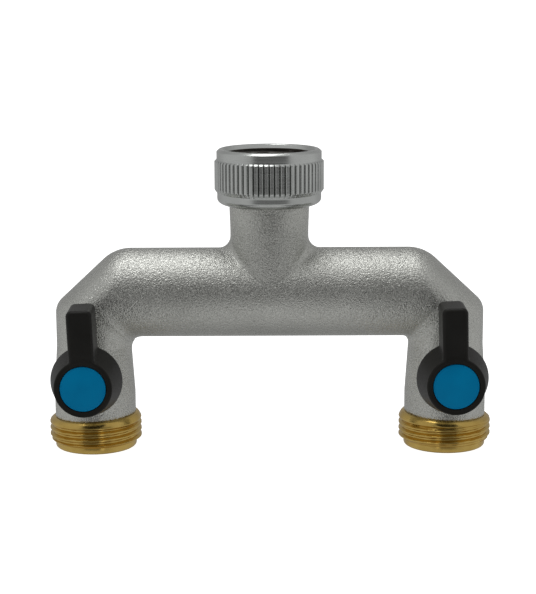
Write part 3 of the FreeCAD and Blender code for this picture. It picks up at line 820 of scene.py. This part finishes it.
def build_card(name, corners, brightness):
    """Card lying in front of the part, seen only in its reflections."""
    points = np.array([(x, y, BASE_Z + 0.05) for x, y in corners]) * MM
    card = new_object(name, points, np.array([[0, 1, 2, 3]]))
    material = bpy.data.materials.new(name)
    material.use_nodes = True
    shader = material.node_tree.nodes["Principled BSDF"]
    shader.inputs["Base Color"].default_value = (0.0, 0.0, 0.0, 1.0)
    shader.inputs["Specular IOR Level"].default_value = 0.0
    shader.inputs["Emission Color"].default_value = (1.0, 1.0, 1.0, 1.0)
    shader.inputs["Emission Strength"].default_value = brightness
    card.data.materials.append(material)
    card.visible_camera = False
    card.visible_diffuse = False
    card.visible_transmission = False
    card.visible_shadow = False


def build_world():
    """Pale studio all round, darker around the camera, below and behind the part."""
    world = bpy.data.worlds.new("studio")
    bpy.context.scene.world = world
    world.use_nodes = True
    tree = world.node_tree
    background = tree.nodes["Background"]
    place = tree.nodes.new("ShaderNodeTexCoord").outputs["Generated"]

    def vector_maths(operation, source, value=None):
        node = tree.nodes.new("ShaderNodeVectorMath")
        node.operation = operation
        tree.links.new(source, node.inputs[0])
        if value is not None:
            node.inputs[1].default_value = value
        return node

    def level(source, direction, near, far, value_near, value_far):
        """Brightness that changes with the angle from a direction, between two angles in degrees."""
        dot = vector_maths("DOT_PRODUCT", source, Vector(direction).normalized())
        ramp = tree.nodes.new("ShaderNodeMapRange")
        ramp.interpolation_type = "SMOOTHSTEP"
        ramp.inputs["From Min"].default_value = math.cos(math.radians(far))
        ramp.inputs["From Max"].default_value = math.cos(math.radians(near))
        ramp.inputs["To Min"].default_value = value_far
        ramp.inputs["To Max"].default_value = value_near
        tree.links.new(dot.outputs["Value"], ramp.inputs["Value"])
        return ramp.outputs["Result"]

    def times(first, second):
        node = tree.nodes.new("ShaderNodeMath")
        node.operation = "MULTIPLY"
        tree.links.new(first, node.inputs[0])
        tree.links.new(second, node.inputs[1])
        return node.outputs["Value"]

    # The dark room behind the camera: a patch that ends below at the edge of the table.
    flat = vector_maths("MULTIPLY", place, (1.0, 1.0, 0.0)).outputs["Vector"]
    heading = vector_maths("NORMALIZE", flat).outputs["Vector"]
    ahead = level(heading, (0.07, -1.0, 0.0), 33.0, 46.0, 1.0, 0.0)
    above_table = level(place, (0.0, 0.0, 1.0), 98.5, 106.0, 1.0, 0.0)
    under_ceiling = level(place, (0.0, 0.0, 1.0), 42.0, 62.0, 0.0, 1.0)
    patch = times(times(ahead, above_table), under_ceiling)
    invert = tree.nodes.new("ShaderNodeMapRange")
    invert.inputs["To Min"].default_value = 1.0
    invert.inputs["To Max"].default_value = 0.22
    tree.links.new(patch, invert.inputs["Value"])
    around_camera = invert.outputs["Result"]
    below = level(place, (0.0, 0.35, -1.0), 8.0, 48.0, 0.66, 1.08)
    behind = level(place, (0.0, 1.0, 0.3), 25.0, 75.0, 0.70, 1.0)
    strength = times(times(around_camera, below), behind)
    scale = tree.nodes.new("ShaderNodeMath")
    scale.operation = "MULTIPLY"
    scale.inputs[1].default_value = 0.50
    tree.links.new(strength, scale.inputs[0])
    tree.links.new(scale.outputs["Value"], background.inputs["Strength"])
    background.inputs["Color"].default_value = (1.0, 1.0, 1.0, 1.0)


# Outlines of the cards in front of each leg, inwards from its axis and forwards
DARK_CARD = ((-5.0, -16.0), (4.0, -16.0), (18.0, -85.0), (-42.0, -85.0))
PALE_CARD = ((4.0, -16.0), (6.0, -16.0), (32.0, -85.0), (18.0, -85.0))

build_camera()
build_floor()
build_world()
for side, hand in ((-1, "left"), (1, "right")):
    build_card(f"{hand}_dark_card", [(side * (LEG_X - x), y) for x, y in DARK_CARD], 0.20)
    build_card(f"{hand}_pale_card", [(side * (LEG_X - x), y) for x, y in PALE_CARD], 0.9)
softbox("top_softbox", (-0.08, 0.05, 0.75), (0.0, 0.0, 0.0), 0.66, 0.34, 1.75)
bpy.context.scene.view_settings.view_transform = "Standard"
